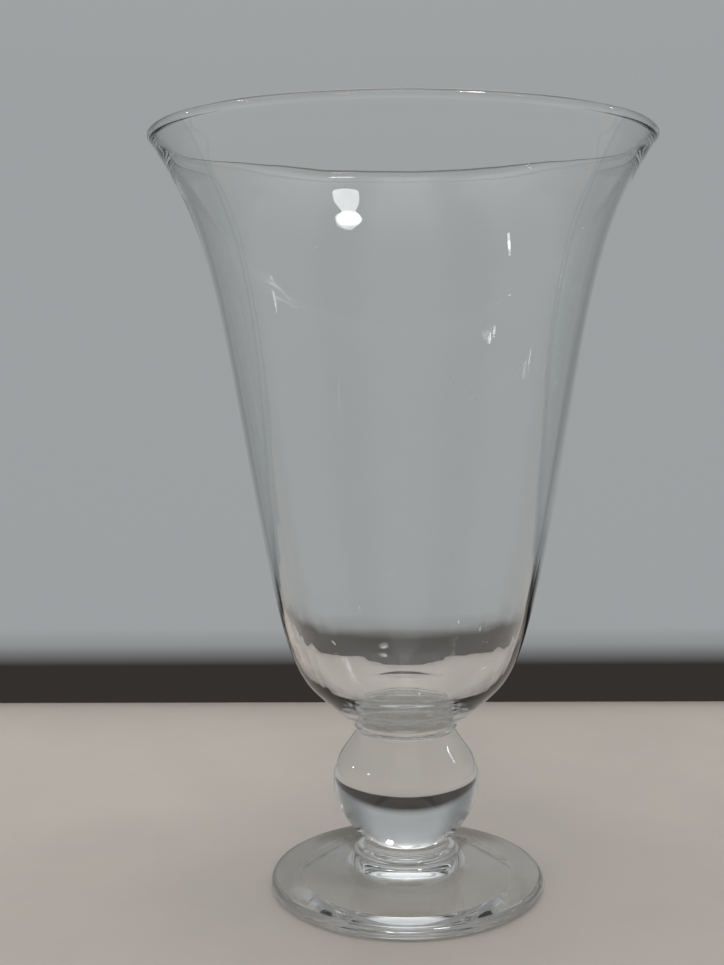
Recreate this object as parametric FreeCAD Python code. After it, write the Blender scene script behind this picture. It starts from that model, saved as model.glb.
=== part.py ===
import FreeCAD, Part
import math
import os

# Footed trumpet vase of clear glass with a solid ball knop.
# Millimetres, +Z up.  The origin is the centre of the ring that the foot rests on.
# Every piece is turned about Z.  The pieces are stacked along the axis and meet on flat
# circular faces, where the hot glass was fused.

# ---------------------------------------------------------------- driving dimensions
HEIGHT = 402.0            # floor to the top of the lip

FOOT_R = 74.4             # outer radius of the foot
FOOT_EDGE_R = 3.4         # rounding of the foot's edge, so the edge is twice this thick
FOOT_REST_IN_R = 56.0     # inner radius of the flat ring that touches the floor
FOOT_HOLLOW = 8.0         # depth of the domed hollow under the foot
FOOT_TOP_Z = 22.4         # top of the foot's raised boss
FOOT_BOSS_R = 27.2        # radius of the boss where it turns down to the foot
FOOT_NECK_R = 23.6        # radius of the fused face on top of the boss

LOWER_COLLAR_TOP_Z = 27.4
LOWER_COLLAR_R = 23.0     # waist of the lower collar
LOWER_COLLAR_END_R = 23.6

BALL_TOP_Z = 86.6
BALL_R = 39.7
BALL_MID_Z = 57.6

UPPER_COLLAR_TOP_Z = 91.0
UPPER_COLLAR_R = 27.8     # widest radius of the upper collar
UPPER_COLLAR_END_R = 26.2

BOWL_IN_BOTTOM_Z = 95.6   # lowest point of the inside of the bowl
LIP_R = 130.6             # outermost radius of the lip
LIP_BEAD = 4.8            # diameter of the fire-polished bead
WALL = 2.7                # wall over most of the bowl's height

# outside of the bowl, (radius, height), from the fused face up to just under the lip
BOWL_OUT = [
    (26.2, 91.0),
    (29.4, 92.1),
    (32.8, 94.4),
    (36.2, 97.2),
    (39.6, 100.2),
    (42.9, 103.2),
    (46.1, 106.2),
    (49.1, 109.2),
    (51.7, 112.0),
    (54.0, 115.0),
    (55.9, 118.0),
    (57.8, 121.5),
    (59.8, 126.0),
    (61.65, 131.0),
    (63.6, 137.0),
    (65.6, 144.0),
    (67.65, 152.0),
    (69.9, 162.0),
    (72.4, 174.0),
    (75.1, 188.0),
    (78.0, 204.0),
    (81.1, 222.0),
    (84.1, 240.0),
    (87.05, 258.0),
    (90.05, 276.0),
    (93.15, 294.0),
    (96.2, 310.05),
    (99.5, 325.3),
    (102.85, 338.65),
    (106.5, 351.0),
    (110.25, 361.3),
    (114.25, 370.55),
    (118.3, 378.75),
    (122.1, 385.75),
    (125.55, 391.6),
    (128.0, 395.4),
]

# wall thickness measured square to the outside, (height on the outside, thickness)
BOWL_WALL = [
    (94.4, 6.6),
    (100.2, 6.2),
    (106.2, 5.7),
    (112.0, 5.1),
    (118.0, 4.6),
    (126.0, 4.1),
    (137.0, 3.6),
    (152.0, 3.2),
    (174.0, 2.9),
    (204.0, WALL),
    (366.0, WALL),
    (378.75, 2.6),
    (385.75, 3.05),
    (391.6, 3.65),
]

# middle of the inside of the bowl, (radius, height), from the axis outwards
BOWL_IN_FLOOR = [
    (0.0, BOWL_IN_BOTTOM_Z),
    (4.5, BOWL_IN_BOTTOM_Z + 0.02),
    (9.0, BOWL_IN_BOTTOM_Z + 0.1),
    (16.0, BOWL_IN_BOTTOM_Z + 0.5),
    (22.5, BOWL_IN_BOTTOM_Z + 1.5),
    (27.5, BOWL_IN_BOTTOM_Z + 3.5),
    (31.5, BOWL_IN_BOTTOM_Z + 5.9),
]


def interp(table, z):
    if z <= table[0][0]:
        return table[0][1]
    for (z0, v0), (z1, v1) in zip(table, table[1:]):
        if z <= z1:
            return v0 + (v1 - v0) * (z - z0) / (z1 - z0)
    return table[-1][1]


def vec(p):
    return FreeCAD.Vector(p[0], 0.0, p[1])


def spline(points):
    curve = Part.BSplineCurve()
    curve.interpolate([vec(p) for p in points])
    return curve.toShape()


def line(a, b):
    return Part.makeLine(vec(a), vec(b))


def arc(a, m, b):
    return Part.Arc(vec(a), vec(m), vec(b)).toShape()


def turned(edges):
    face = Part.Face(Part.Wire(edges))
    solid = face.revolve(FreeCAD.Vector(0, 0, 0), FreeCAD.Vector(0, 0, 1), 360)
    if solid.ShapeType != "Solid":
        solid = solid.Solids[0]
    if solid.Volume < 0:
        solid.reverse()
    return solid


def unit(x, y):
    n = math.hypot(x, y)
    return x / n, y / n


# ---------------------------------------------------------------- foot
def make_foot():
    e = FOOT_EDGE_R
    cx = FOOT_R - e
    top_start = (cx + e * math.sin(math.radians(6)), e + e * math.cos(math.radians(6)))
    neck = (FOOT_NECK_R, FOOT_TOP_Z)
    boss = [
        neck,
        (25.4, 22.1),
        (26.8, 21.2),
        (FOOT_BOSS_R, 20.0),
        (27.6, 18.7),
        (28.8, 17.3),
        (31.0, 16.0),
        (34.5, 14.7),
        (39.5, 13.3),
        (46.0, 11.8),
        (53.0, 10.3),
        (60.0, 8.9),
        (66.0, 7.7),
        top_start,
    ]
    hollow_mid = (FOOT_REST_IN_R * 0.55, FOOT_HOLLOW * 0.702)
    edges = [
        arc((0.0, FOOT_HOLLOW), hollow_mid, (FOOT_REST_IN_R, 0.0)),
        line((FOOT_REST_IN_R, 0.0), (cx, 0.0)),
        arc((cx, 0.0), (cx + e * math.cos(math.radians(-3)), e + e * math.sin(math.radians(-3))), top_start),
        spline(boss[::-1]),
        line(neck, (0.0, FOOT_TOP_Z)),
        line((0.0, FOOT_TOP_Z), (0.0, FOOT_HOLLOW)),
    ]
    return turned(edges)


# ---------------------------------------------------------------- lower collar
def make_lower_collar():
    zb, zt = FOOT_TOP_Z, LOWER_COLLAR_TOP_Z
    edges = [
        line((0.0, zb), (LOWER_COLLAR_END_R, zb)),
        arc((LOWER_COLLAR_END_R, zb), (LOWER_COLLAR_R, (zb + zt) / 2), (LOWER_COLLAR_END_R, zt)),
        line((LOWER_COLLAR_END_R, zt), (0.0, zt)),
        line((0.0, zt), (0.0, zb)),
    ]
    return turned(edges)


# ---------------------------------------------------------------- ball knop
def make_ball():
    pts = [
        (LOWER_COLLAR_END_R, LOWER_COLLAR_TOP_Z),
        (28.4, 32.2),
        (32.6, 37.4),
        (35.8, 42.6),
        (38.2, 48.0),
        (39.4, 52.8),
        (BALL_R, BALL_MID_Z),
        (39.4, 62.4),
        (38.2, 67.4),
        (35.8, 72.5),
        (32.2, 77.6),
        (28.9, 82.2),
        (UPPER_COLLAR_END_R, BALL_TOP_Z),
    ]
    edges = [
        line((0.0, LOWER_COLLAR_TOP_Z), pts[0]),
        spline(pts),
        line(pts[-1], (0.0, BALL_TOP_Z)),
        line((0.0, BALL_TOP_Z), (0.0, LOWER_COLLAR_TOP_Z)),
    ]
    return turned(edges)


# ---------------------------------------------------------------- upper collar
def make_upper_collar():
    zb, zt = BALL_TOP_Z, UPPER_COLLAR_TOP_Z
    edges = [
        line((0.0, zb), (UPPER_COLLAR_END_R, zb)),
        arc((UPPER_COLLAR_END_R, zb), (UPPER_COLLAR_R, (zb + zt) / 2), (UPPER_COLLAR_END_R, zt)),
        line((UPPER_COLLAR_END_R, zt), (0.0, zt)),
        line((0.0, zt), (0.0, zb)),
    ]
    return turned(edges)


# ---------------------------------------------------------------- bowl
def make_bowl():
    # bead: a round of diameter LIP_BEAD whose top is at HEIGHT and whose side is at LIP_R
    rb = LIP_BEAD / 2
    bc = (LIP_R - rb, HEIGHT - rb)
    # the wall meets the bead at these two angles: smoothly outside, and with a crease inside,
    # where the bead stands proud
    a_out = math.radians(-35.0)
    a_in = math.radians(192.0)
    p_out = (bc[0] + rb * math.cos(a_out), bc[1] + rb * math.sin(a_out))
    p_in = (bc[0] + rb * math.cos(a_in), bc[1] + rb * math.sin(a_in))
    a_mid = (a_out + a_in) / 2
    p_mid = (bc[0] + rb * math.cos(a_mid), bc[1] + rb * math.sin(a_mid))

    outer_pts = BOWL_OUT + [p_out]
    outer = spline(outer_pts)

    inner = []
    for i in range(4, len(BOWL_OUT) - 1):
        r0, z0 = BOWL_OUT[i - 1]
        r1, z1 = BOWL_OUT[min(i + 1, len(BOWL_OUT) - 1)]
        tx, tz = unit(r1 - r0, z1 - z0)
        t = interp(BOWL_WALL, BOWL_OUT[i][1])
        inner.append((BOWL_OUT[i][0] - tz * t, BOWL_OUT[i][1] + tx * t))
    inner_pts = [p_in] + inner[::-1] + BOWL_IN_FLOOR[::-1]
    inside = spline(inner_pts)

    z = UPPER_COLLAR_TOP_Z
    edges = [
        line((0.0, z), BOWL_OUT[0]),
        outer,
        arc(p_out, p_mid, p_in),
        inside,
        line(BOWL_IN_FLOOR[0], (0.0, z)),
    ]
    return turned(edges), inner_pts


os.makedirs("parts", exist_ok=True)

bowl, inner_pts = make_bowl()
shapes = {
    "bowl": bowl,
    "upper_collar": make_upper_collar(),
    "ball_knop": make_ball(),
    "lower_collar": make_lower_collar(),
    "foot": make_foot(),
}
total = 0.0
for name, shape in shapes.items():
    bb = shape.BoundBox
    total += shape.Volume
    print("%-13s valid %s closed %s volume %9.1f mm3  z %7.2f to %7.2f  r %7.2f" % (
        name, shape.isValid(), shape.isClosed(), shape.Volume, bb.ZMin, bb.ZMax, bb.XMax))
    shape.exportStep("parts/%s.step" % name)
print("volume %.1f mm3, %.3f kg at 2500 kg/m3" % (total, total * 2.5e-6))
for r, z in inner_pts:
    print("inside r %.2f z %.2f" % (r, z))
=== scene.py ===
import math

import bpy
import numpy as np
from mathutils import Matrix, Vector


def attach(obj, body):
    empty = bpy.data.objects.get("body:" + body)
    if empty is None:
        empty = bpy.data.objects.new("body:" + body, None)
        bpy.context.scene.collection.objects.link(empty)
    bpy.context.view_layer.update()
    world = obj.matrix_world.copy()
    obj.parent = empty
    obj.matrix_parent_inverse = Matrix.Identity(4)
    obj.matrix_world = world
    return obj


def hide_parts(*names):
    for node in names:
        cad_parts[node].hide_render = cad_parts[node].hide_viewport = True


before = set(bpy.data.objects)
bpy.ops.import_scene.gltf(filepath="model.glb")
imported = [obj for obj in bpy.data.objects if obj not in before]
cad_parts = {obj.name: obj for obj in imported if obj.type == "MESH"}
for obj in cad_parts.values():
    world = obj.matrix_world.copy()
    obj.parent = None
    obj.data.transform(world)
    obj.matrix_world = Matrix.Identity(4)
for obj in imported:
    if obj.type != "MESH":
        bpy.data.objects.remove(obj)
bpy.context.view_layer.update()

# Footed trumpet vase of clear glass. Metres, in the CAD frame.
# Every node is turned again here as a finer closed mesh, with the slight unevenness of blown
# glass, and stands for the CAD node of the same name.

SCN = bpy.context.scene
COL = SCN.collection
PI = math.pi


# ---------------------------------------------------------------- camera
F_PX = 1298.6
IMG_W, IMG_H = 724.0, 965.0
PITCH, ROLL, YAW = math.radians(5.99), math.radians(-0.62), math.radians(-1.77)
CAM_H, CAM_D = 0.29257, 0.6878

fw = Vector((math.sin(YAW) * math.cos(PITCH), math.cos(YAW) * math.cos(PITCH), -math.sin(PITCH)))
rt = Vector((math.cos(YAW), -math.sin(YAW), 0.0))
up = rt.cross(fw)
rt2 = math.cos(ROLL) * rt + math.sin(ROLL) * up
up2 = -math.sin(ROLL) * rt + math.cos(ROLL) * up
cam_data = bpy.data.cameras.new("camera")
cam_data.sensor_width = 36.0
cam_data.lens = F_PX * 36.0 / IMG_H
cam_data.clip_start, cam_data.clip_end = 0.02, 60.0
cam = bpy.data.objects.new("camera", cam_data)
COL.objects.link(cam)
m = Matrix((
    (rt2.x, up2.x, -fw.x, -0.001),
    (rt2.y, up2.y, -fw.y, -CAM_D),
    (rt2.z, up2.z, -fw.z, CAM_H),
    (0, 0, 0, 1),
))
cam.matrix_world = m
SCN.camera = cam


# ---------------------------------------------------------------- profiles, in millimetres
HEIGHT, LIP_R, BEAD = 402.0, 130.6, 4.8
BOWL_OUT = [
    (26.2, 91.0), (29.4, 92.1), (32.8, 94.4), (36.2, 97.2), (39.6, 100.2), (42.9, 103.2),
    (46.1, 106.2), (49.1, 109.2), (51.7, 112.0), (54.0, 115.0), (55.9, 118.0), (57.8, 121.5),
    (59.8, 126.0), (61.65, 131.0), (63.6, 137.0), (65.6, 144.0), (67.65, 152.0), (69.9, 162.0),
    (72.4, 174.0), (75.1, 188.0), (78.0, 204.0), (81.1, 222.0), (84.1, 240.0), (87.05, 258.0),
    (90.05, 276.0), (93.15, 294.0), (96.2, 310.05), (99.5, 325.3), (102.85, 338.65), (106.5, 351.0),
    (110.25, 361.3), (114.25, 370.55), (118.3, 378.75), (122.1, 385.75), (125.55, 391.6), (128.0, 395.4),
]
BOWL_WALL = [
    (94.4, 6.6), (100.2, 6.2), (106.2, 5.7), (112.0, 5.1), (118.0, 4.6), (126.0, 4.1), (137.0, 3.6),
    (152.0, 3.2), (174.0, 2.9), (204.0, 2.7), (366.0, 2.7), (378.75, 2.6), (385.75, 3.05), (391.6, 3.65),
]
IN_Z = 95.6
BOWL_FLOOR = [
    (0.0, IN_Z), (4.5, IN_Z + 0.02), (9.0, IN_Z + 0.1), (16.0, IN_Z + 0.5), (22.5, IN_Z + 1.5), (27.5, IN_Z + 3.5),
    (31.5, IN_Z + 5.9),
]
BALL = [
    (23.6, 27.4), (28.4, 32.2), (32.6, 37.4), (35.8, 42.6), (38.2, 48.0), (39.4, 52.8), (39.7, 57.6),
    (39.4, 62.4), (38.2, 67.4), (35.8, 72.5), (32.2, 77.6), (28.9, 82.2), (26.2, 86.6),
]
FOOT_TOP = [
    (66.0, 7.7), (60.0, 8.9), (53.0, 10.3), (46.0, 11.8), (39.5, 13.3), (34.5, 14.7), (31.0, 16.0), (28.8, 17.3),
    (27.6, 18.7), (27.2, 20.0), (26.8, 21.2), (25.4, 22.1), (23.6, 22.4),
]
GAP = 0.01      # each joint face stands back this much, so that two faces never coincide


def natural(points, step):
    """Samples of the natural cubic spline through the points, about step apart."""
    p = np.array(points, float)
    h = np.hypot(*np.diff(p, axis=0).T)
    n = len(p)
    a = np.zeros((n, n))
    b = np.zeros((n, 2))
    a[0, 0] = a[-1, -1] = 1.0
    for i in range(1, n - 1):
        a[i, i - 1], a[i, i], a[i, i + 1] = h[i - 1], 2 * (h[i - 1] + h[i]), h[i]
        b[i] = 6 * ((p[i + 1] - p[i]) / h[i] - (p[i] - p[i - 1]) / h[i - 1])
    k = np.linalg.solve(a, b)
    out = []
    for i in range(n - 1):
        m_ = max(1, int(round(h[i] / step)))
        for j in range(m_):
            s = h[i] * j / m_
            u, v = h[i] - s, s
            out.append(
                k[i] * u ** 3 / (6 * h[i]) + k[i + 1] * v ** 3 / (6 * h[i])
                + (p[i] / h[i] - k[i] * h[i] / 6) * u + (p[i + 1] / h[i] - k[i + 1] * h[i] / 6) * v
            )
    out.append(p[-1])
    return [tuple(map(float, q)) for q in out]


def arc3(a, b, c, n):
    """n+1 points on the circle through a, b and c, from a to c."""
    ax, ay, bx, by, cx, cy = *a, *b, *c
    d = 2 * (ax * (by - cy) + bx * (cy - ay) + cx * (ay - by))
    ux = ((ax * ax + ay * ay) * (by - cy) + (bx * bx + by * by) * (cy - ay) + (cx * cx + cy * cy) * (ay - by)) / d
    uy = ((ax * ax + ay * ay) * (cx - bx) + (bx * bx + by * by) * (ax - cx) + (cx * cx + cy * cy) * (bx - ax)) / d
    r = math.hypot(ax - ux, ay - uy)
    t0, t1, t2 = (math.atan2(q[1] - uy, q[0] - ux) for q in (a, b, c))
    while t1 - t0 > PI: t1 -= 2 * PI
    while t1 - t0 < -PI: t1 += 2 * PI
    while t2 - t1 > PI: t2 -= 2 * PI
    while t2 - t1 < -PI: t2 += 2 * PI
    return [(ux + r * math.cos(t0 + (t2 - t0) * i / n), uy + r * math.sin(t0 + (t2 - t0) * i / n)) for i in range(n + 1)]


def disc(z, r, rings=6):
    """A flat cap from the axis outwards."""
    return [(r * i / rings, z) for i in range(rings + 1)]


def lerp_table(table, z):
    return float(np.interp(z, [q[0] for q in table], [q[1] for q in table]))


def thin_out(points, z_lo, z_hi, keep):
    """Keep every point near both ends, and between the two heights one in keep."""
    return [q for i, q in enumerate(points) if q[1] < z_lo or q[1] > z_hi or i % keep == 0]


# ---------------------------------------------------------------- unevenness of blown glass
def waves(terms):
    """A smooth function of angle and height: a sum of (amplitude, turns, waves per metre, phase)."""
    def f(th, z):
        s = 0.0
        for amp, k, q, ph in terms:
            s = s + amp * np.cos(k * th + q * 2 * PI * z * 0.001 + ph)
        return s
    return f


# long, nearly upright bands: high in turns, low in height
W_OUT = waves([
    (0.13, 2, 0.7, 0.4), (0.09, 3, -1.1, 2.1), (0.055, 5, 1.6, 4.4), (0.032, 9, -1.3, 1.0),
    (0.018, 14, 0.9, 3.3), (0.010, 23, -0.8, 5.2), (0.006, 37, 1.1, 0.7), (0.0035, 61, -0.9, 2.6),
])
W_IN = waves([
    (0.13, 2, 0.9, 1.5), (0.09, 4, 1.2, 0.2), (0.06, 6, -1.5, 3.0), (0.036, 11, 1.0, 5.5),
    (0.020, 17, -0.7, 2.2), (0.011, 29, 0.9, 4.0), (0.007, 43, -1.2, 1.9), (0.004, 71, 0.8, 0.3),
])
LIP_WAVE = waves([
    (0.30, 2, 0, 1.0), (0.20, 3, 0, 3.6), (0.18, 5, 0, 0.8), (0.12, 8, 0, 2.5), (0.08, 13, 0, 4.9), (0.05, 19, 0, 0.9),
    (0.02, 31, 0, 2.2),
])
KNOP_WAVE = waves([(0.10, 2, 2.0, 0.6), (0.06, 3, -4.0, 2.4), (0.03, 5, 6.0, 4.0), (0.012, 9, -8.0, 1.2)])
FOOT_WAVE = waves([(0.14, 2, 0, 2.0), (0.08, 3, 0, 0.3), (0.05, 5, 0, 3.9), (0.02, 9, 0, 1.1)])


def smooth(x):
    x = np.clip(x, 0.0, 1.0)
    return x * x * (3 - 2 * x)


def hump(z, lo, hi, soft):
    """1 between the two heights, and 0 outside them."""
    return smooth((z - lo) / soft) * smooth((hi - z) / soft)


# ---------------------------------------------------------------- turning
def turn(name, loops, segments, shift=None):
    """A closed mesh from a profile that starts and ends on the axis.

    loops is a list of (points, material index, sharp at its end). shift(r, z, th, part) moves
    the points. Neighbouring loops share their end point. The profile runs outwards along the
    underside and back inwards on top, so the faces look outwards."""
    pts, mats, sharp_at = [], [], []
    for i, (seg, mat, sharp) in enumerate(loops):
        if pts:
            seg = seg[1:]
        for q in seg:
            if pts:
                mats.append(mat)
            pts.append((q[0], q[1], i))
        if sharp:
            sharp_at.append(len(pts) - 1)
    n = len(pts)
    th = np.arange(segments) * 2 * PI / segments
    co = np.zeros((n, segments, 3))
    for i, (r, z, part) in enumerate(pts):
        rr, zz, dx = np.full(segments, r), np.full(segments, z), 0.0
        if shift is not None and r > 1e-6:
            rr, zz, dx = shift(rr, zz, th, part)
        co[i, :, 0], co[i, :, 1], co[i, :, 2] = rr * np.cos(th) + dx, rr * np.sin(th), zz
    verts = np.concatenate([co[0, :1], co[1:n - 1].reshape(-1, 3), co[n - 1, :1]]) * 0.001
    index = np.zeros((n, segments), int)
    index[1:n - 1] = 1 + np.arange((n - 2) * segments).reshape(n - 2, segments)
    index[n - 1] = len(verts) - 1
    nxt = np.roll(index, -1, axis=1)
    first = np.stack([index[0], nxt[1], index[1]], 1)
    quads = np.stack([index[1:n - 2], nxt[1:n - 2], nxt[2:n - 1], index[2:n - 1]], 2).reshape(-1, 4)
    last = np.stack([index[n - 2], nxt[n - 2], index[n - 1]], 1)
    mats = np.array(mats)
    fm = np.concatenate([np.full(segments, mats[0]), np.repeat(mats[1:n - 2], segments), np.full(segments, mats[n - 2])])
    mesh = bpy.data.meshes.new(name)
    mesh.from_pydata(verts.tolist(), [], first.tolist() + quads.tolist() + last.tolist())
    mesh.polygons.foreach_set("material_index", fm.astype(np.int32))
    mesh.polygons.foreach_set("use_smooth", np.ones(len(fm), bool))
    ring = np.zeros(len(verts), int)
    ring[1:-1] = 1 + np.repeat(np.arange(n - 2), segments)
    ed = np.zeros(len(mesh.edges) * 2, np.int32)
    mesh.edges.foreach_get("vertices", ed)
    ra, rb = ring[ed[0::2]], ring[ed[1::2]]
    flags = (ra == rb) & np.isin(ra, sharp_at)
    mesh.attributes.new("sharp_edge", "BOOLEAN", "EDGE").data.foreach_set("value", flags)
    mesh.update()
    ob = bpy.data.objects.new(name, mesh)
    COL.objects.link(ob)
    return ob


SEG = 256


def bowl_profile():
    rb = BEAD / 2
    bc = (LIP_R - rb, HEIGHT - rb)
    ao, ai = math.radians(-35.0), math.radians(192.0)
    p_out = (bc[0] + rb * math.cos(ao), bc[1] + rb * math.sin(ao))
    p_in = (bc[0] + rb * math.cos(ai), bc[1] + rb * math.sin(ai))
    outer = thin_out(natural(BOWL_OUT + [p_out], 0.5), 124.0, 384.0, 3)
    bead = [(bc[0] + rb * math.cos(ao + (ai - ao) * i / 30), bc[1] + rb * math.sin(ao + (ai - ao) * i / 30)) for i in range(31)]
    inner = []
    for i in range(4, len(BOWL_OUT) - 1):
        (r0, z0), (r1, z1) = BOWL_OUT[i - 1], BOWL_OUT[i + 1]
        ln = math.hypot(r1 - r0, z1 - z0)
        tx, tz = (r1 - r0) / ln, (z1 - z0) / ln
        t = lerp_table(BOWL_WALL, BOWL_OUT[i][1])
        inner.append((BOWL_OUT[i][0] - tz * t, BOWL_OUT[i][1] + tx * t))
    inside = thin_out(natural([p_in] + inner[::-1] + BOWL_FLOOR[::-1], 0.5), 124.0, 384.0, 3)
    return outer, bead, inside


def bowl_shift(r, z, th, part):
    # part 0 is the joint face, 1 outside, 2 bead, 3 inside
    lip = smooth((z - 330.0) / 70.0)
    top = smooth((z - 300.0) / 100.0)
    # the lip is not quite level, and waves a little
    dz = -1.3 * (1 + np.cos(th)) * top - (1.05 + LIP_WAVE(th, z)) * 0.42 * lip
    if part == 1:
        low = smooth((z - 96.0) / 40.0)
        r = r + W_OUT(th, z) * low * (1 - 0.92 * lip)
        # tool marks round the outside of the base
        amp = 0.012 * hump(z, 94.0, 108.0, 5.0) * (1 + 0.3 * np.cos(3 * th + 0.7))
        r = r + amp * np.cos(2 * PI * z / 3.7 + 0.3 * np.sin(2 * th + 0.5))
    elif part == 3:
        low = smooth((z - 106.0) / 30.0)
        r = r + W_IN(th, z) * low * (1 - 0.92 * lip)
        # the wall is drawn thinner below the flare and gathers again towards the lip
        r = r + 0.48 * (smooth((z - 240.0) / 95.0) - smooth((z - 338.0) / 46.0))
        # fine rings round the inside of the base
        amp = 0.026 * hump(z, 97.0, 109.0, 4.0) * (1 + 0.3 * np.cos(2 * th + 2.0))
        r = r + amp * np.cos(2 * PI * z / 2.6 + 0.3 * np.sin(3 * th))
        z = z + 0.012 * smooth((27.0 - r) / 5.0) * np.cos(2 * PI * r / 9.0)
    # the bowl leans a fraction of a millimetre to one side
    r = r - (0.26 + 0.21 * np.cos(th)) * lip
    return r, z + dz, 0.4 * smooth((z - 130.0) / 90.0)


def knop_shift(r, z, th, part):
    mid = hump(z, 27.41, 86.59, 16.0) if part == 1 else 0.0
    return r + (KNOP_WAVE(th, z) - 0.20) * mid, z, 0.0


def foot_shift(r, z, th, part):
    # part 0 hollow, 1 resting ring, 2 edge, 3 top, 4 joint face
    out = smooth((r - 30.0) / 36.0)
    if part in (2, 3):
        z = z + FOOT_WAVE(th, z) * 0.4 * out * smooth((z - 2.0) / 4.0)
    if part == 3:
        # faint rings where the foot was spread
        z = z + 0.004 * hump(r, 33.0, 66.0, 8.0) * np.cos(2 * PI * r / 5.3 + 0.8 * np.sin(2 * th))
    r = r + (FOOT_WAVE(th, z) - 0.30) * 0.7 * smooth((r - 60.0) / 12.0)
    return r, z, 0.0


def build():
    outer, bead, inside = bowl_profile()
    z0 = 91.0 + GAP
    outer[0] = (outer[0][0], z0)
    bowl = turn("bowl_glass_body", [
        (disc(z0, 26.2), 1, True), ([(26.2, z0)] + outer[1:], 0, False), (bead, 0, False), (inside, 0, False),
    ], 2 * SEG, bowl_shift)

    zb, zt = 86.6 + GAP, 91.0 - GAP
    upper = turn("upper_collar_glass", [
        (disc(zb, 26.2), 1, True), (arc3((26.2, zb), (27.8, 88.8), (26.2, zt), 20), 0, True), (disc(zt, 26.2)[::-1], 1, False),
    ], SEG)

    zb, zt = 27.4 + GAP, 86.6 - GAP
    side = natural(BALL, 0.9)
    side[0], side[-1] = (side[0][0], zb), (side[-1][0], zt)
    ball = turn("ball_knop_glass", [
        (disc(zb, 23.6), 1, True), (side, 0, True), (disc(zt, 26.2)[::-1], 1, False),
    ], SEG, knop_shift)

    zb, zt = 22.4 + GAP, 27.4 - GAP
    lower = turn("lower_collar_glass", [
        (disc(zb, 23.6), 1, True), (arc3((23.6, zb), (23.0, 24.9), (23.6, zt), 20), 0, True), (disc(zt, 23.6)[::-1], 1, False),
    ], SEG)

    e, cx = 3.4, 71.0
    top_start = (cx + e * math.sin(math.radians(6)), e + e * math.cos(math.radians(6)))
    hollow = arc3((0.0, 8.0), (30.8, 5.616), (56.0, 0.0), 50)
    rest = [(56.0 + 15.0 * i / 6, 0.0) for i in range(7)]
    edge = arc3((cx, 0.0), (cx + e * math.cos(math.radians(-3)), e + e * math.sin(math.radians(-3))), top_start, 36)
    top = natural([top_start] + FOOT_TOP, 0.6)
    zt = 22.4 - GAP
    top[-1] = (23.6, zt)
    foot = turn("foot_glass_body", [
        (hollow, 0, True), (rest, 0, False), (edge, 0, False), (top, 0, True), (disc(zt, 23.6)[::-1], 1, False),
    ], SEG, foot_shift)
    return {"bowl": bowl, "upper_collar": upper, "ball_knop": ball, "lower_collar": lower, "foot": foot}


# ---------------------------------------------------------------- materials
def new_mat(name):
    mt = bpy.data.materials.new(name)
    mt.use_nodes = True
    nt = mt.node_tree
    return mt, nt, nt.nodes["Principled BSDF"], nt.nodes["Material Output"]


class Nodes:
    """Short names for the nodes that the patterns are made of."""

    def __init__(self, tree):
        self.n, self.l = tree.nodes, tree.links

    def put(self, v, socket):
        if isinstance(v, (int, float)):
            socket.default_value = v
        elif isinstance(v, tuple):
            socket.default_value = v
        else:
            self.l.new(v, socket)

    def math(self, op, a, b=None, clamp=False):
        n = self.n.new("ShaderNodeMath")
        n.operation, n.use_clamp = op, clamp
        self.put(a, n.inputs[0])
        if b is not None:
            self.put(b, n.inputs[1])
        return n.outputs[0]

    def noise(self, vec, scale, detail, rough=0.5):
        n = self.n.new("ShaderNodeTexNoise")
        self.l.new(vec, n.inputs["Vector"])
        n.inputs["Scale"].default_value = scale
        n.inputs["Detail"].default_value = detail
        n.inputs["Roughness"].default_value = rough
        return n.outputs[0]

    def cells(self, vec, scale, smoothness=0.0):
        n = self.n.new("ShaderNodeTexVoronoi")
        self.l.new(vec, n.inputs["Vector"])
        n.inputs["Scale"].default_value = scale
        return n.outputs["Distance"]

    def fit(self, v, a0, a1, b0, b1):
        n = self.n.new("ShaderNodeMapRange")
        n.interpolation_type = "SMOOTHSTEP"
        self.l.new(v, n.inputs["Value"])
        for key, val in (("From Min", a0), ("From Max", a1), ("To Min", b0), ("To Max", b1)):
            n.inputs[key].default_value = val
        return n.outputs[0]

    def mix(self, fac, c0, c1):
        n = self.n.new("ShaderNodeMix")
        n.data_type = "RGBA"
        self.put(fac, n.inputs[0])
        self.put(c0, n.inputs[6])
        self.put(c1, n.inputs[7])
        return n.outputs[2]

    def point(self):
        return self.n.new("ShaderNodeTexCoord").outputs["Object"]

    def wrapped(self, k_turn, k_up):
        """A point that goes round with the angle and up with the height, whatever the radius."""
        sep = self.n.new("ShaderNodeSeparateXYZ")
        self.l.new(self.point(), sep.inputs[0])
        x, y, z = sep.outputs
        r = self.math("SQRT", self.math("ADD", self.math("ADD", self.math("MULTIPLY", x, x), self.math("MULTIPLY", y, y)), 1e-8))
        com = self.n.new("ShaderNodeCombineXYZ")
        self.put(self.math("MULTIPLY", self.math("DIVIDE", x, r), k_turn), com.inputs[0])
        self.put(self.math("MULTIPLY", self.math("DIVIDE", y, r), k_turn), com.inputs[1])
        self.put(self.math("MULTIPLY", z, k_up), com.inputs[2])
        return com.outputs[0]


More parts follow.
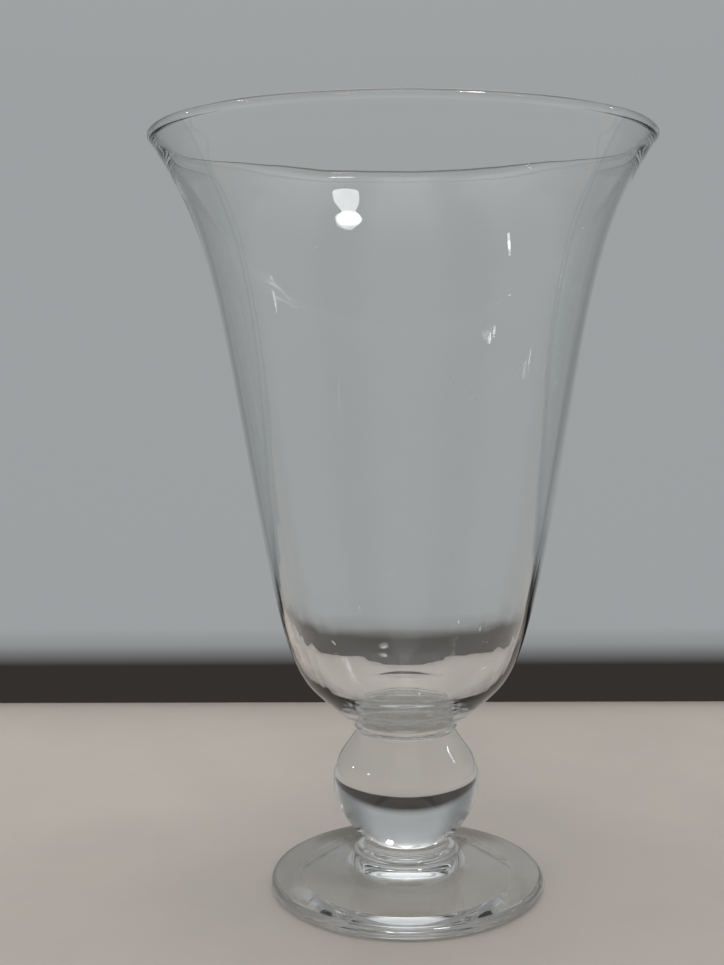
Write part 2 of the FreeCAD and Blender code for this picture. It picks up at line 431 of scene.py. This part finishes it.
def glass(name, color, streak, seed):
    """Clear glass with faint upright streaks, wiped smears and a few specks of dust."""
    mt, nt, bsdf, out = new_mat(name)
    g = Nodes(nt)
    bsdf.inputs["Transmission Weight"].default_value = 1.0
    bsdf.inputs["IOR"].default_value = 1.5
    p = g.point()

    # streaks that the glass keeps from being spun and pulled
    wide = g.noise(g.wrapped(7.0, 5.0), 1.0, 2.0)
    fine = g.noise(g.wrapped(26.0, 9.0), 1.0, 2.0)
    level = g.math("ADD", wide, g.math("MULTIPLY", fine, 0.22))
    bump = nt.nodes.new("ShaderNodeBump")
    bump.inputs["Strength"].default_value = 1.0
    bump.inputs["Distance"].default_value = streak
    g.put(level, bump.inputs["Height"])
    g.put(bump.outputs[0], bsdf.inputs["Normal"])

    # smears left by a cloth: a very light blur in long patches
    smear = g.fit(g.noise(g.wrapped(3.0 + 0.4 * seed, 11.0), 1.0, 4.0, 0.6), 0.56, 0.74, 0.0, 1.0)
    dust_at = g.fit(g.cells(p, 210.0 + 13.0 * seed), 0.045, 0.085, 1.0, 0.0)
    some = g.fit(g.noise(p, 23.0 + seed, 2.0), 0.60, 0.66, 0.0, 1.0)
    dust = g.math("MULTIPLY", dust_at, some)
    rough = g.math("ADD", g.math("MULTIPLY", smear, 0.035), g.math("MULTIPLY", dust, 0.45), clamp=True)
    g.put(rough, bsdf.inputs["Roughness"])

    # the tint drifts by a hair, and a speck of dust is greyer than the glass
    drift = g.noise(p, 9.0, 2.0)
    deeper = tuple(c * k for c, k in zip(color, (0.988, 0.994, 0.992))) + (1.0,)
    tint = g.mix(g.fit(drift, 0.35, 0.65, 0.0, 1.0), (*color, 1.0), deeper)
    g.put(g.mix(dust, tint, (0.80, 0.80, 0.79, 1.0)), bsdf.inputs["Base Color"])
    return mt


def joint(name):
    """The fused face between two gathers: the glass is one there, so nothing bends or shines."""
    mt, nt, bsdf, out = new_mat(name)
    bsdf.inputs["Base Color"].default_value = (1.0, 1.0, 1.0, 1.0)
    bsdf.inputs["Transmission Weight"].default_value = 1.0
    bsdf.inputs["IOR"].default_value = 1.0
    bsdf.inputs["Roughness"].default_value = 0.0
    return mt


MATS = {
    "bowl": glass("bowl_clear_glass", (0.985, 0.99, 0.988), 0.000016, 1),
    "stem": glass("stem_clear_glass", (0.965, 0.98, 0.976), 0.000012, 2),
    "foot": glass("foot_clear_glass", (0.972, 0.985, 0.981), 0.000014, 3),
}
FUSED = joint("fused_face")
SLOTS = {
    "bowl": ("bowl", "bowl_glass"), "upper_collar": ("stem", "stem_glass"), "ball_knop": ("stem", "stem_glass"),
    "lower_collar": ("stem", "stem_glass"), "foot": ("foot", "foot_glass"),
}
pieces = build()
for node, ob in pieces.items():
    mat, slot = SLOTS[node]
    ob.data.materials.append(MATS[mat])
    ob.data.materials.append(FUSED)
    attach(ob, "root")
    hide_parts(node)


# ---------------------------------------------------------------- stage
def plane(name, corners):
    me = bpy.data.meshes.new(name)
    me.from_pydata(corners, [], [(0, 1, 2, 3)])
    ob = bpy.data.objects.new(name, me)
    COL.objects.link(ob)
    return ob


FLOOR_Y = 0.361
floor = plane("floor", [(-3, -4, -0.0003), (3, -4, -0.0003), (3, FLOOR_Y, -0.0003), (-3, FLOOR_Y, -0.0003)])
mt, nt, bsdf, out = new_mat("floor_plain")
g = Nodes(nt)
grain = g.noise(g.point(), 14.0, 6.0, 0.6)
g.put(g.mix(g.fit(grain, 0.3, 0.7, 0.0, 1.0), (0.690, 0.625, 0.562, 1.0), (0.725, 0.655, 0.588, 1.0)), bsdf.inputs["Base Color"])
g.put(g.fit(grain, 0.3, 0.7, 0.46, 0.54), bsdf.inputs["Roughness"])
bsdf.inputs["Specular IOR Level"].default_value = 0.25
floor.data.materials.append(mt)

# A long low strip of painted shadow with a soft top lies along the back of the floor: a near-black emissive sheet
# standing for the shade where floor meets backdrop, and it draws dark edges in the glass. From behind it doesn't show.
shadow_band = plane("shadow_band", [(-3, FLOOR_Y, -0.0003), (3, FLOOR_Y, -0.0003), (3, FLOOR_Y, 0.062), (-3, FLOOR_Y, 0.062)])
mt, nt, bsdf, out = new_mat("painted_shadow_band")
nt.nodes.remove(bsdf)
g = Nodes(nt)
sep = nt.nodes.new("ShaderNodeSeparateXYZ")
nt.links.new(g.point(), sep.inputs[0])
shade_emission = nt.nodes.new("ShaderNodeEmission")
ramp = nt.nodes.new("ShaderNodeValToRGB")
# painted shade: solid over the lower half of the strip, fading to clear towards its top
g.put(g.math("DIVIDE", sep.outputs["Z"], 0.062), ramp.inputs[0])
fr = ramp.color_ramp
fr.elements[0].position, fr.elements[0].color = 0.50, (0.0, 0.0, 0.0, 1)
fr.elements[1].position, fr.elements[1].color = 1.0, (1.0, 1.0, 1.0, 1)
el = fr.elements.new(0.78)
el.color = (0.78, 0.78, 0.78, 1)
# painted shade: the near-black colour the strip emits
shade_emission.inputs["Color"].default_value = (0.034, 0.030, 0.028, 1)
clear = nt.nodes.new("ShaderNodeBsdfTransparent")
side = nt.nodes.new("ShaderNodeMixShader")
g.put(g.math("MAXIMUM", nt.nodes.new("ShaderNodeNewGeometry").outputs["Backfacing"], ramp.outputs[0]), side.inputs[0])
nt.links.new(shade_emission.outputs[0], side.inputs[1])
nt.links.new(clear.outputs[0], side.inputs[2])
nt.links.new(side.outputs[0], out.inputs["Surface"])
mt.cycles.emission_sampling = "NONE"
shadow_band.data.materials.append(mt)

# ---------------------------------------------------------------- world
# A plain grey studio, brightest overhead. It depends on direction only and is alike on all four
# sides.
world = bpy.data.worlds.new("studio")
SCN.world = world
world.use_nodes = True
wt = world.node_tree
wt.nodes.clear()
w = Nodes(wt)
w_out = wt.nodes.new("ShaderNodeOutputWorld")
w_bg = wt.nodes.new("ShaderNodeBackground")
w_tc = wt.nodes.new("ShaderNodeTexCoord")
w_sep = wt.nodes.new("ShaderNodeSeparateXYZ")
wt.links.new(w_tc.outputs["Generated"], w_sep.inputs[0])
elev = w.math("ARCSINE", w_sep.outputs["Z"])
e01 = w.math("ADD", w.math("DIVIDE", elev, PI), 0.5)
w_ramp = wt.nodes.new("ShaderNodeValToRGB")
wt.links.new(e01, w_ramp.inputs[0])
cr = w_ramp.color_ramp


def at(deg):
    return 0.5 + deg / 180.0


STOPS = [
    (-90, (0.09, 0.085, 0.08)), (-30, (0.09, 0.088, 0.086)), (-21, (0.29, 0.30, 0.305)), (-11.5, (0.335, 0.350, 0.357)), (10, (0.34, 0.355, 0.362)),
    (35, (0.40, 0.412, 0.418)), (52, (0.62, 0.632, 0.638)), (68, (1.10, 1.11, 1.12)), (90, (1.60, 1.60, 1.60)),
]
cr.elements[0].position, cr.elements[0].color = at(STOPS[0][0]), (*STOPS[0][1], 1)
cr.elements[1].position, cr.elements[1].color = at(STOPS[-1][0]), (*STOPS[-1][1], 1)
for deg, val in STOPS[1:-1]:
    el = cr.elements.new(at(deg))
    el.color = (*val, 1)
azim = w.math("ARCTAN2", w_sep.outputs["X"], w_sep.outputs["Y"])
four = w.math("COSINE", w.math("MULTIPLY", azim, 4.0))
wt.links.new(w_ramp.outputs[0], w_bg.inputs["Color"])
wt.links.new(w.fit(four, -1.0, 0.35, 0.52, 1.0), w_bg.inputs["Strength"])
wt.links.new(w_bg.outputs[0], w_out.inputs["Surface"])


# ---------------------------------------------------------------- lights
def area(name, loc, target, size, power, shape="DISK", color=(1, 1, 1), shines=(True, True, True)):
    """shines: whether it lights plain surfaces, mirrors in the glass, and shows through the glass."""
    ld = bpy.data.lights.new(name, "AREA")
    ld.shape = shape
    if isinstance(size, tuple):
        ld.size, ld.size_y = size
    else:
        ld.size = size
    ld.energy = power
    ld.color = color
    ob = bpy.data.objects.new(name, ld)
    COL.objects.link(ob)
    ob.location = loc
    ob.rotation_euler = (Vector(target) - Vector(loc)).to_track_quat("-Z", "Y").to_euler()
    ob.visible_diffuse, ob.visible_glossy, ob.visible_transmission = shines
    return ob


def lamp(name, azimuth, elevation, dist, size, power, shape="DISK", aim=(0.0, 0.0, 0.25)):
    """A small lamp that only mirrors in the glass. Its azimuth turns from +Y towards +X."""
    a, e = math.radians(azimuth), math.radians(elevation)
    d = Vector((math.sin(a) * math.cos(e), math.cos(a) * math.cos(e), math.sin(e)))
    return area(name, Vector(aim) + d * dist, aim, size, power, shape, shines=(False, True, True))


area("soft_top", (0.1, -0.2, 2.5), (0.1, -0.2, 0), (2.6, 2.6), 11.0, "RECTANGLE", shines=(True, False, False))
area("lamp_main", (0.886, -0.966, 2.312), (0, 0, 0.3), (0.42, 0.36), 15.0, "ELLIPSE", shines=(False, True, True))
lamp("lamp_right", 80.0, 21.0, 1.9, (0.03, 0.16), 0.55, "RECTANGLE", (-0.06, 0.05, 0.32))
lamp("lamp_left_low", -114.0, 19.0, 1.9, 0.06, 0.35, aim=(0.05, 0.08, 0.30))
lamp("lamp_left_side", -80.0, 12.0, 1.9, 0.05, 0.25, aim=(0.07, 0.05, 0.28))
lamp("lamp_left_high", -102.0, 42.0, 1.9, (0.06, 0.22), 1.0, "RECTANGLE", (0.03, 0.04, 0.12))

# light paths long enough for both walls of the bowl, the thick base and the ball
SCN.cycles.max_bounces = 24
SCN.cycles.transmission_bounces = 24
SCN.cycles.glossy_bounces = 12
SCN.view_settings.view_transform = "Standard"
